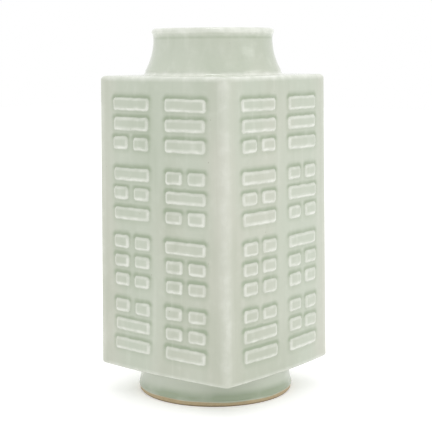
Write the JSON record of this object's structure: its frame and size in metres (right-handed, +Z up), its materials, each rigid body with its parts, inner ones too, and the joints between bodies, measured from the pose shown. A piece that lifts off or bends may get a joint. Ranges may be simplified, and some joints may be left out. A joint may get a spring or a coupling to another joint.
{
  "type": "square vase",
  "caption": "Tall four-sided celadon vase with a round neck and round foot, eight trigrams in relief on each wall.",
  "frame": {"origin": "centre of the foot ring, on the surface that the vase stands on", "axes": "+Z up along the vase's axis; -Y is the front wall and +X is the right wall"},
  "size_m": [0.1356, 0.1356, 0.28],
  "materials": {
    "celadon_glaze": "glossy pale green glaze",
    "bare_clay": "unglazed, matte"
  },
  "bodies": {
    "root": {"wall_front": "celadon_glaze", "wall_right": "celadon_glaze", "wall_back": "celadon_glaze", "wall_left": "celadon_glaze", "base_slab": "celadon_glaze", "shoulder_slab": "celadon_glaze", "neck": "celadon_glaze", "foot_ring": "celadon_glaze", "corner_coil_front_right": "bare_clay", "corner_coil_right_back": "bare_clay", "corner_coil_back_left": "bare_clay", "corner_coil_left_front": "bare_clay", "floor_coil_front": "bare_clay", "floor_coil_right": "bare_clay", "floor_coil_back": "bare_clay", "floor_coil_left": "bare_clay"}
  },
  "joints": []
}
